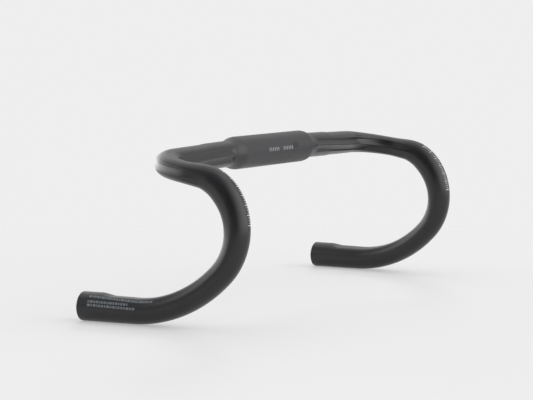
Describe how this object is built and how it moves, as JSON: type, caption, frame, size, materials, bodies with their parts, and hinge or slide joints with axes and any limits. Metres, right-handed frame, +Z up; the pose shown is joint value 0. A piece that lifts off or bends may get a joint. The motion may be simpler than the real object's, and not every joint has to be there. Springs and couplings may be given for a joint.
{
  "type": "drop handlebar",
  "caption": "Matt black composite drop handlebar with a bulged stem clamp, cable grooves and flared hooks.",
  "frame": {"origin": "centre of the stem clamp, on the bar's axis", "axes": "+X along the clamp's axis to the rider's right, +Y forward, +Z up"},
  "size_m": [0.4938, 0.1665, 0.1614],
  "materials": {
    "carbon": "satin black carbon composite",
    "inner_carbon": "raw moulded carbon composite",
    "damping_film": "matt elastomer film",
    "adhesive": "grey epoxy",
    "clamp_insert": "anodised tube",
    "scale_print": "thin grey print",
    "end_ring": "moulded composite ring"
  },
  "bodies": {
    "root": {"tops_outer_laminate": "carbon", "drop_outer_laminate_right": "carbon", "drop_outer_laminate_left": "carbon", "tops_inner_laminate": "inner_carbon", "drop_inner_laminate_right": "inner_carbon", "drop_inner_laminate_left": "inner_carbon", "lever_band_plies_right": "inner_carbon", "lever_band_plies_left": "inner_carbon", "joint_sleeve_right": "inner_carbon", "joint_sleeve_left": "inner_carbon", "tops_damping_layer": "damping_film", "drop_damping_layer_right": "damping_film", "drop_damping_layer_left": "damping_film", "joint_adhesive_right": "adhesive", "joint_adhesive_left": "adhesive", "clamp_reinforcement": "clamp_insert", "lever_scale_right": "scale_print", "lever_scale_left": "scale_print", "end_ring_right": "end_ring", "end_ring_left": "end_ring"}
  },
  "joints": []
}
